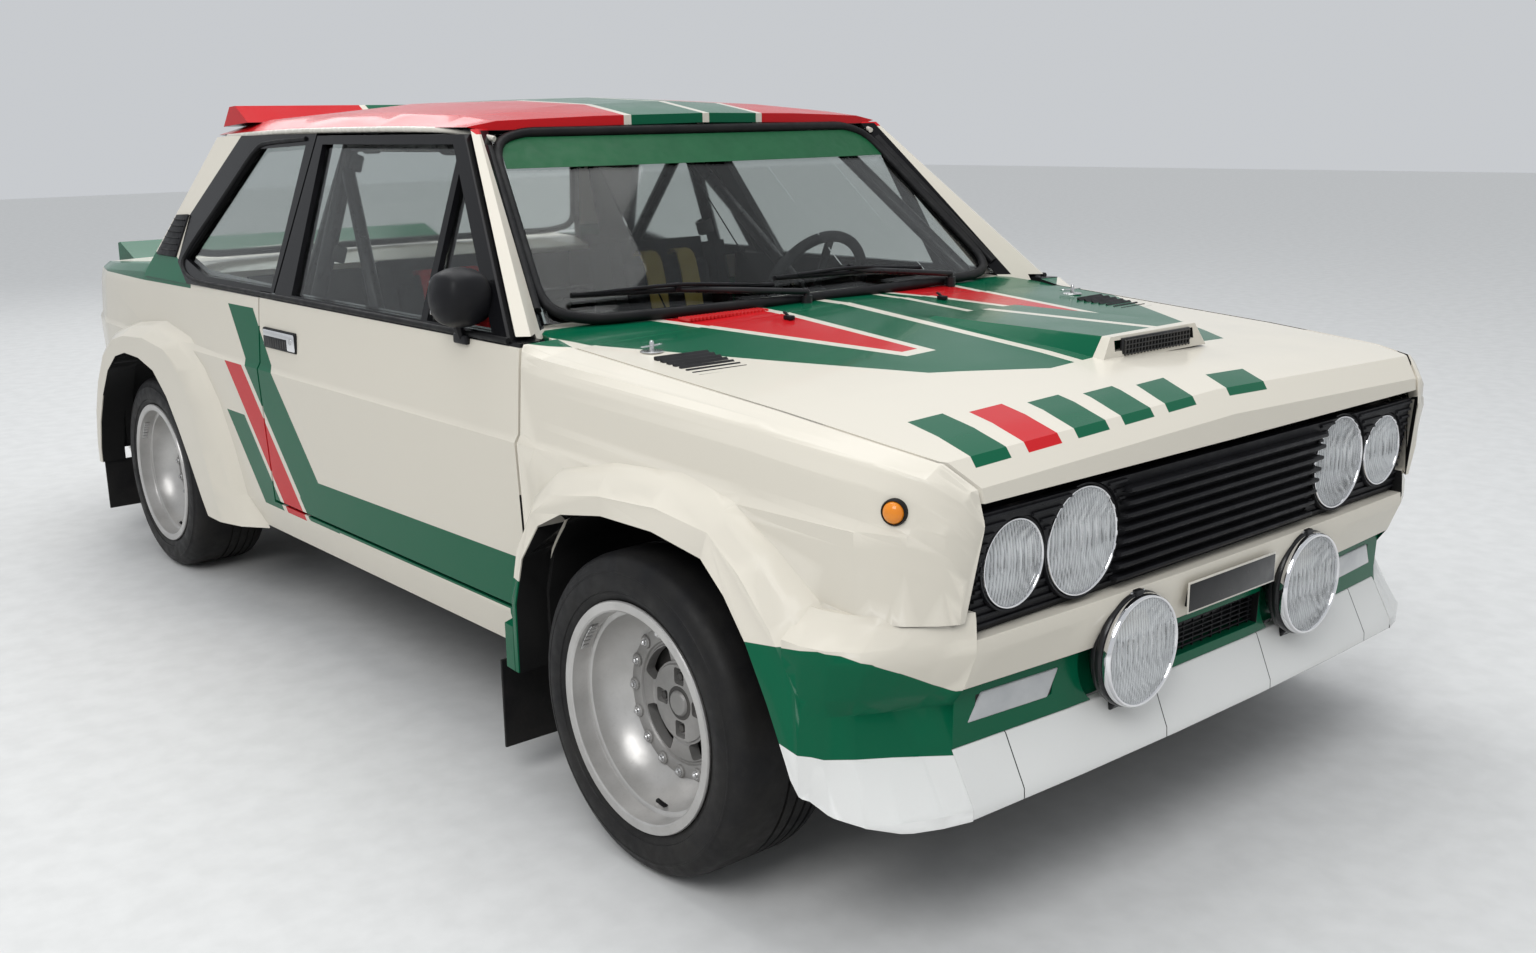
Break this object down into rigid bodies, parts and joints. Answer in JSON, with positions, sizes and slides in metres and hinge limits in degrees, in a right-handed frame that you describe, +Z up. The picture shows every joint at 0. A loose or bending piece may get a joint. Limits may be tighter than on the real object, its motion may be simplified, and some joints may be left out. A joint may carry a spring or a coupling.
{
  "type": "rally car",
  "caption": "Two-door saloon rally car with flared arches, paired round headlamps, auxiliary driving lamps, opening doors, bonnet and boot, steered front wheels and a caged cab.",
  "frame": {"origin": "centre of the car's bounding box, on the ground", "axes": "-Y is the front of the car, +X its left side, +Z up"},
  "size_m": [1.738, 4.05, 1.36],
  "materials": {
    "body_paint": "gloss",
    "black_paint": "satin",
    "black_plastic": "matt",
    "red_plastic": "gloss",
    "rubber": "matt",
    "tyre": "matt",
    "rim_metal": "matt grey",
    "lamp_metal": "polished",
    "glass": "clear",
    "lamp_glass": "ribbed clear",
    "fabric": "woven black",
    "leather": "black suede",
    "engine_metal": "cast",
    "dark_metal": "painted black",
    "pipe_metal": "dull"
  },
  "bodies": {
    "body": {"floorpan": "body_paint", "wing_right": "body_paint", "wing_left": "body_paint", "body_side_right": "body_paint", "body_side_left": "body_paint", "roof": "body_paint", "fixed_glass": "glass", "scuttle": "body_paint", "rear_deck": "body_paint", "rear_panel": "body_paint", "nose_panel": "black_paint", "grille": "black_plastic", "lamp_lenses": "lamp_glass", "lamp_bowls": "lamp_metal", "lamp_shells": "black_plastic", "front_bumper": "body_paint", "air_dam": "body_paint", "rear_bumper": "body_paint", "tail_lamps": "red_plastic", "mudflaps": "rubber", "seats": "fabric", "dashboard": "black_plastic", "roll_cage": "black_paint", "engine": "engine_metal", "front_suspension": "dark_metal", "rear_suspension": "dark_metal", "exhaust": "pipe_metal", "wipers": "black_paint"},
    "door_r": {"door_right": "body_paint", "door_glass_right": "glass", "mirror_right": "black_plastic"},
    "door_l": {"door_left": "body_paint", "door_glass_left": "glass"},
    "front_lid": {"bonnet": "body_paint"},
    "rear_lid": {"boot_lid": "body_paint"},
    "upright_r": {"knuckle_right": "dark_metal"},
    "upright_l": {"knuckle_left": "dark_metal"},
    "steering": {"steering_wheel": "leather"},
    "wheel_fr": {"rim_fr": "rim_metal", "tyre_fr": "tyre"},
    "wheel_fl": {"rim_fl": "rim_metal", "tyre_fl": "tyre"},
    "wheel_rr": {"rim_rr": "rim_metal", "tyre_rr": "tyre"},
    "wheel_rl": {"rim_rl": "rim_metal", "tyre_rl": "tyre"}
  },
  "joints": [
    {"name": "door_right_hinge", "type": "hinge", "parent": "body", "child": "door_r", "pos_m": [-0.818, -0.99, 0.6], "axis": [0, 0, 1], "range_deg": [0, 62]},
    {"name": "door_left_hinge", "type": "hinge", "parent": "body", "child": "door_l", "pos_m": [0.818, -0.99, 0.6], "axis": [0, 0, 1], "range_deg": [-62, 0]},
    {"name": "bonnet_hinge", "type": "hinge", "parent": "body", "child": "front_lid", "pos_m": [0, -1.99, 0.8], "axis": [1, 0, 0], "range_deg": [0, 55]},
    {"name": "boot_hinge", "type": "hinge", "parent": "body", "child": "rear_lid", "pos_m": [0, 1.18, 0.918], "axis": [1, 0, 0], "range_deg": [0, 65]},
    {"name": "steer_right", "type": "hinge", "parent": "body", "child": "upright_r", "pos_m": [-0.655, -1.41, 0.29], "axis": [0, 0, 1], "range_deg": [-28, 28]},
    {"name": "steer_left", "type": "hinge", "parent": "body", "child": "upright_l", "pos_m": [0.655, -1.41, 0.29], "axis": [0, 0, 1], "range_deg": [-28, 28]},
    {"name": "steering_column", "type": "hinge", "parent": "body", "child": "steering", "pos_m": [0.35, -0.56, 0.85], "axis": [0, 0.92, 0.392], "range_deg": [-420, 420]},
    {"name": "wheel_spin_fr", "type": "hinge", "parent": "upright_r", "child": "wheel_fr", "pos_m": [-0.76, -1.41, 0.29], "axis": [1, 0, 0], "continuous": true},
    {"name": "wheel_spin_fl", "type": "hinge", "parent": "upright_l", "child": "wheel_fl", "pos_m": [0.76, -1.41, 0.29], "axis": [1, 0, 0], "continuous": true},
    {"name": "wheel_spin_rr", "type": "hinge", "parent": "body", "child": "wheel_rr", "pos_m": [-0.704, 1.08, 0.29], "axis": [1, 0, 0], "continuous": true},
    {"name": "wheel_spin_rl", "type": "hinge", "parent": "body", "child": "wheel_rl", "pos_m": [0.704, 1.08, 0.29], "axis": [1, 0, 0], "continuous": true}
  ],
  "couplings": [
    {"joint": "steer_left", "follows": "steer_right", "ratio": 1},
    {"joint": "steering_column", "follows": "steer_right", "ratio": 15}
  ]
}
